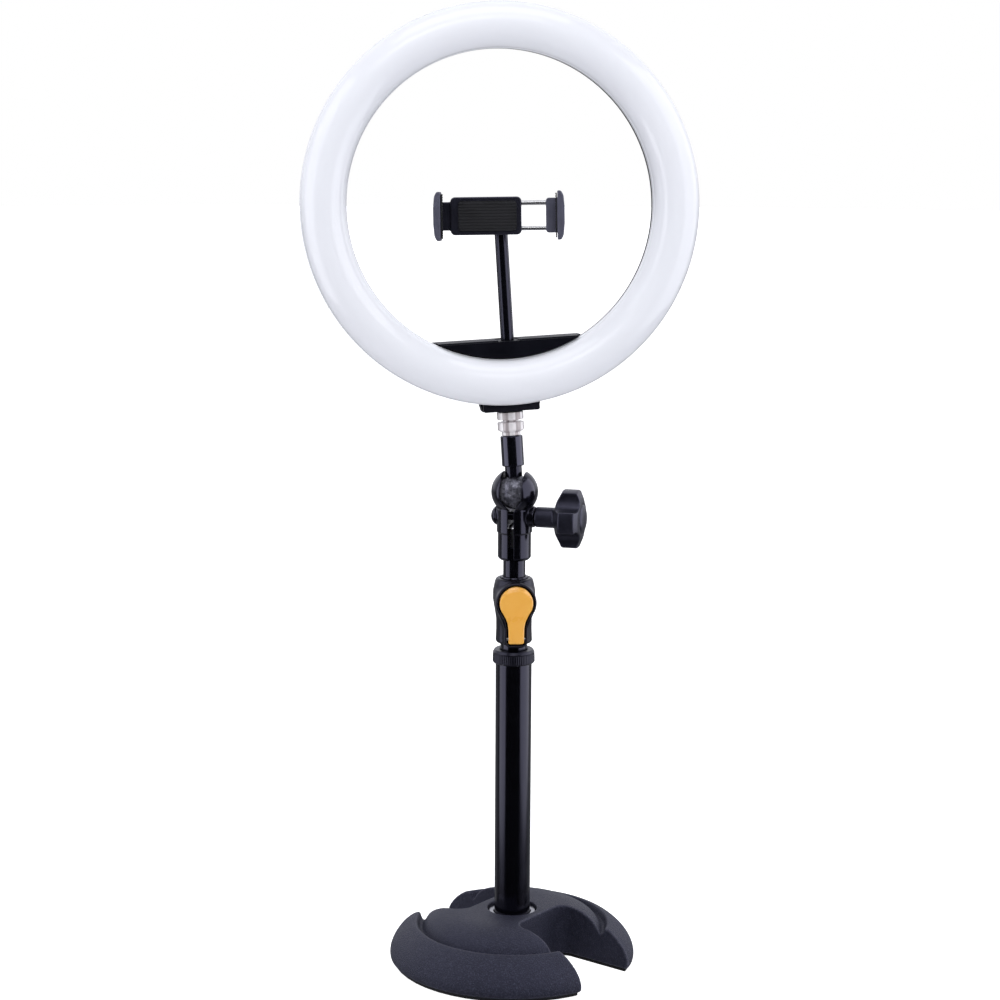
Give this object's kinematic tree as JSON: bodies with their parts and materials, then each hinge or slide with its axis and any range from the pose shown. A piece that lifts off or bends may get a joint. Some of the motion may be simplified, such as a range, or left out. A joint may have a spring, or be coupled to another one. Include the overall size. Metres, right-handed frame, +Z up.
{
  "type": "ring light",
  "caption": "Table-top ring light on a telescopic column and heavy slotted base, with a split ball joint, push-lever clutch and turning phone holder.",
  "frame": {"origin": "on the column's axis at floor level, at the centre of the base pad's underside", "axes": "+Z up the column; the light faces -Y; +X to the right of a viewer who faces the light"},
  "size_m": [0.2549, 0.1648, 0.6349],
  "materials": {
    "powder_coat": "fine-textured charcoal powder coat",
    "pad_rubber": "matt black rubber",
    "gloss_black": "gloss black enamel on steel",
    "satin_plastic": "satin black moulded plastic",
    "matte_housing": "matt black moulded plastic",
    "chrome_plate": "bright chrome plate",
    "bright_steel": "bright turned steel",
    "opal": "opal white acrylic, glossy",
    "lever_orange": "yellow-orange moulded plastic, semi-gloss",
    "brass_insert": "turned brass",
    "nylon_black": "dark nylon",
    "board_white": "white solder mask",
    "board_green": "green solder mask",
    "soft_rubber": "soft black silicone"
  },
  "bodies": {
    "base": {"base_casting": "powder_coat", "base_pad": "pad_rubber", "bolt_washer": "bright_steel", "column_bolt": "bright_steel", "bore_ring": "chrome_plate", "lower_tube": "gloss_black", "tube_plug": "bright_steel", "tube_top_bush": "nylon_black"},
    "collar": {"twist_collar": "satin_plastic"},
    "mid_bush": {"mid_foot_bush": "nylon_black"},
    "mid": {"mid_tube": "gloss_black", "clutch_housing": "satin_plastic", "clutch_top_bush": "nylon_black", "clutch_spring_washer": "bright_steel", "lever_pin": "bright_steel"},
    "lever": {"clutch_lever": "lever_orange"},
    "plate": {"lock_plate": "bright_steel"},
    "rod_bush": {"rod_foot_bush": "nylon_black"},
    "rod": {"inner_rod": "gloss_black", "rod_spigot": "bright_steel"},
    "socket": {"socket_half_left": "gloss_black", "socket_half_right": "gloss_black", "clamp_bolt": "gloss_black"},
    "knob": {"clamp_knob": "satin_plastic", "knob_cap": "satin_plastic", "knob_insert": "brass_insert"},
    "ball_seats": {"ball_seat_left": "nylon_black", "ball_seat_right": "nylon_black"},
    "stem": {"ball_stem": "gloss_black"},
    "head": {"threaded_adapter": "chrome_plate", "adapter_washer": "pad_rubber", "mount_bracket": "matte_housing", "thread_insert": "brass_insert", "crescent_cover": "matte_housing", "rear_cover": "matte_housing", "cover_screw_1": "bright_steel", "cover_screw_2": "bright_steel", "cover_screw_3": "bright_steel", "cover_screw_4": "bright_steel", "driver_board": "board_green", "power_inlet": "nylon_black", "ring_rear_shell": "matte_housing", "led_board": "board_white", "diffuser": "opal"},
    "lock_nut": {"adapter_lock_nut": "chrome_plate"},
    "dimmer_button": {"button_dimmer": "soft_rubber"},
    "power_button": {"button_power": "soft_rubber"},
    "brighter_button": {"button_brighter": "soft_rubber"},
    "holder_stem": {"holder_stem": "gloss_black"},
    "holder_knuckle": {"holder_knuckle": "satin_plastic"},
    "holder": {"holder_back": "satin_plastic", "holder_back_pad": "soft_rubber", "left_jaw": "satin_plastic", "left_jaw_pad": "soft_rubber"},
    "jaw": {"right_jaw": "satin_plastic", "right_jaw_pad": "soft_rubber", "guide_rod_upper": "bright_steel", "guide_rod_lower": "bright_steel"}
  },
  "joints": [
    {"name": "collar_twist", "type": "hinge", "parent": "base", "child": "collar", "pos_m": [0, 0, 0.21], "axis": [0, 0, 1], "range_deg": [0, 60]},
    {"name": "mid_slide", "type": "slide", "parent": "base", "child": "mid_bush", "axis": [0, 0, 1], "range_m": [-0.003, 0.1]},
    {"name": "mid_turn", "type": "hinge", "parent": "mid_bush", "child": "mid", "pos_m": [0, 0, 0.15], "axis": [0, 0, 1], "continuous": true},
    {"name": "lever_press", "type": "hinge", "parent": "mid", "child": "lever", "pos_m": [0.00132, -0.01253, 0.2244], "axis": [-0.9945, -0.1045, 0], "range_deg": [0, 3.2], "stiffness_Nm_per_rad": 0.8, "springref_deg": -3.44},
    {"name": "plate_tilt", "type": "hinge", "parent": "mid", "child": "plate", "pos_m": [-0.00094, 0.00895, 0.2354], "axis": [0.9945, 0.1045, 0], "range_deg": [0, 3]},
    {"name": "rod_slide", "type": "slide", "parent": "mid", "child": "rod_bush", "axis": [0, 0, 1], "range_m": [-0.01, 0.1]},
    {"name": "rod_turn", "type": "hinge", "parent": "rod_bush", "child": "rod", "pos_m": [0, 0, 0.2], "axis": [0, 0, 1], "continuous": true},
    {"name": "socket_turn", "type": "hinge", "parent": "rod", "child": "socket", "pos_m": [0, 0, 0.29], "axis": [0, 0, 1], "continuous": true},
    {"name": "knob_turn", "type": "hinge", "parent": "socket", "child": "knob", "pos_m": [0, 0, 0.3043], "axis": [0.972, -0.2351, 0], "continuous": true},
    {"name": "head_tilt", "type": "hinge", "parent": "socket", "child": "ball_seats", "pos_m": [0, 0, 0.3205], "axis": [0.972, -0.2351, 0], "range_deg": [-87, 92]},
    {"name": "head_lean", "type": "hinge", "parent": "ball_seats", "child": "stem", "pos_m": [0, 0, 0.3205], "axis": [0.2349, 0.9711, -0.0422], "range_deg": [-0.5, 9.3]},
    {"name": "head_twist", "type": "hinge", "parent": "stem", "child": "head", "pos_m": [-0.00272, 0.00248, 0.36234], "axis": [-0.0649, 0.059, 0.9961], "continuous": true},
    {"name": "lock_nut_turn", "type": "hinge", "parent": "head", "child": "lock_nut", "pos_m": [-0.00324, 0.00295, 0.37031], "axis": [-0.0649, 0.059, 0.9961], "continuous": true},
    {"name": "dimmer_press", "type": "slide", "parent": "head", "child": "dimmer_button", "axis": [0.1144, -0.9912, 0.0662], "range_m": [0, 0.0008], "stiffness_N_per_m": 800, "springref_m": -0.0008},
    {"name": "power_press", "type": "slide", "parent": "head", "child": "power_button", "axis": [0.1144, -0.9912, 0.0662], "range_m": [0, 0.0008], "stiffness_N_per_m": 800, "springref_m": -0.0008},
    {"name": "brighter_press", "type": "slide", "parent": "head", "child": "brighter_button", "axis": [0.1144, -0.9912, 0.0662], "range_m": [0, 0.0008], "stiffness_N_per_m": 800, "springref_m": -0.0008},
    {"name": "holder_pan", "type": "hinge", "parent": "head", "child": "holder_stem", "pos_m": [-0.00509, -0.00632, 0.41591], "axis": [-0.0649, 0.059, 0.9961], "continuous": true},
    {"name": "holder_tilt", "type": "hinge", "parent": "holder_stem", "child": "holder_knuckle", "pos_m": [-0.01056, -0.00135, 0.49989], "axis": [-0.9976, 0.0209, -0.0662], "range_deg": [-4, 35]},
    {"name": "holder_roll", "type": "hinge", "parent": "holder_knuckle", "child": "holder", "pos_m": [-0.01086, -0.01333, 0.50058], "axis": [0.0247, 0.998, -0.0575], "range_deg": [-92, 88]},
    {"name": "jaw_slide", "type": "slide", "parent": "holder", "child": "jaw", "axis": [0.9995, -0.0237, 0.0192], "range_m": [-0.015, 0.014]}
  ],
  "couplings": [
    {"joint": "plate_tilt", "follows": "lever_press", "ratio": 0.9}
  ]
}
